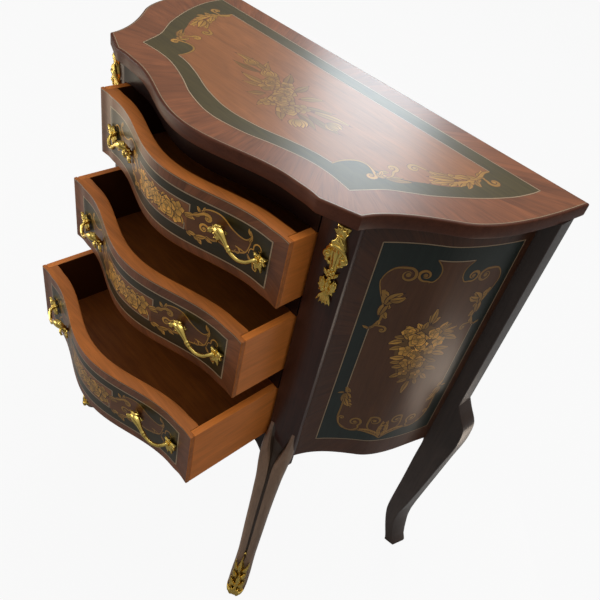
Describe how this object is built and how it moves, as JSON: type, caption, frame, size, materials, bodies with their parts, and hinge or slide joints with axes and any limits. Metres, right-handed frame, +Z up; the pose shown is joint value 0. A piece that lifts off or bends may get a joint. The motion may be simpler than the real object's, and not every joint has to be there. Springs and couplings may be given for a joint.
{
  "type": "commode chest",
  "caption": "Small bow-fronted commode chest on four cabriole legs, with sliding drawers, floral marquetry, cast gilt pulls, corner mounts and foot mounts.",
  "frame": {"origin": "on the floor under the middle of the chest as it stands with its drawers drawn out, half way across and half way between the frontmost and rearmost points", "axes": "+X to the right seen from the front, +Y towards the back, +Z up"},
  "size_m": [0.7756, 0.4718, 0.79],
  "materials": {
    "marquetry": "polished mahogany with dark green bands, pale stringing and golden floral marquetry",
    "carcase": "polished dark mahogany veneer",
    "dark_legs": "dark stained and polished",
    "drawer_wood": "clear varnished red-brown hardwood",
    "plain_wood": "plain stained softwood",
    "gilt": "cast and gilded, bright on the high places and darkened in the hollows"
  },
  "bodies": {
    "case": {"top_board": "marquetry", "top_rail": "carcase", "divider_rail_upper": "carcase", "divider_rail_lower": "carcase", "bottom_rail": "carcase", "front_leg_right": "dark_legs", "front_leg_left": "dark_legs", "sabot_right": "gilt", "sabot_left": "gilt", "corner_mount_right": "gilt", "corner_mount_left": "gilt", "side_panel_right": "marquetry", "side_panel_left": "marquetry", "rear_leg_right": "dark_legs", "rear_leg_left": "dark_legs", "back_panel": "plain_wood", "back_rail_top": "plain_wood", "back_rail_bottom": "plain_wood", "kicker_right": "plain_wood", "kicker_left": "plain_wood", "runner_top_right": "plain_wood", "runner_top_left": "plain_wood", "guide_top_right": "plain_wood", "guide_top_left": "plain_wood", "stop_top": "plain_wood", "runner_middle_right": "plain_wood", "runner_middle_left": "plain_wood", "guide_middle_right": "plain_wood", "guide_middle_left": "plain_wood", "stop_middle": "plain_wood", "runner_bottom_right": "plain_wood", "runner_bottom_left": "plain_wood", "guide_bottom_right": "plain_wood", "guide_bottom_left": "plain_wood", "stop_bottom": "plain_wood"},
    "drawer_top": {"drawer_top_front": "marquetry", "drawer_top_side_right": "drawer_wood", "drawer_top_side_left": "drawer_wood", "drawer_top_bottom": "drawer_wood", "drawer_top_back": "drawer_wood", "handle_top_right": "gilt", "handle_top_left": "gilt"},
    "drawer_middle": {"drawer_middle_front": "marquetry", "drawer_middle_side_right": "drawer_wood", "drawer_middle_side_left": "drawer_wood", "drawer_middle_bottom": "drawer_wood", "drawer_middle_back": "drawer_wood", "handle_middle_right": "gilt", "handle_middle_left": "gilt"},
    "drawer_bottom": {"drawer_bottom_front": "marquetry", "drawer_bottom_side_right": "drawer_wood", "drawer_bottom_side_left": "drawer_wood", "drawer_bottom_bottom": "drawer_wood", "drawer_bottom_back": "drawer_wood", "handle_bottom_right": "gilt", "handle_bottom_left": "gilt"}
  },
  "joints": [
    {"name": "drawer_top_slide", "type": "slide", "parent": "case", "child": "drawer_top", "axis": [0, -1, 0], "range_m": [-0.0382, 0.1318]},
    {"name": "drawer_middle_slide", "type": "slide", "parent": "case", "child": "drawer_middle", "axis": [0, -1, 0], "range_m": [-0.0841, 0.0859]},
    {"name": "drawer_bottom_slide", "type": "slide", "parent": "case", "child": "drawer_bottom", "axis": [0, -1, 0], "range_m": [-0.1438, 0.0262]}
  ]
}
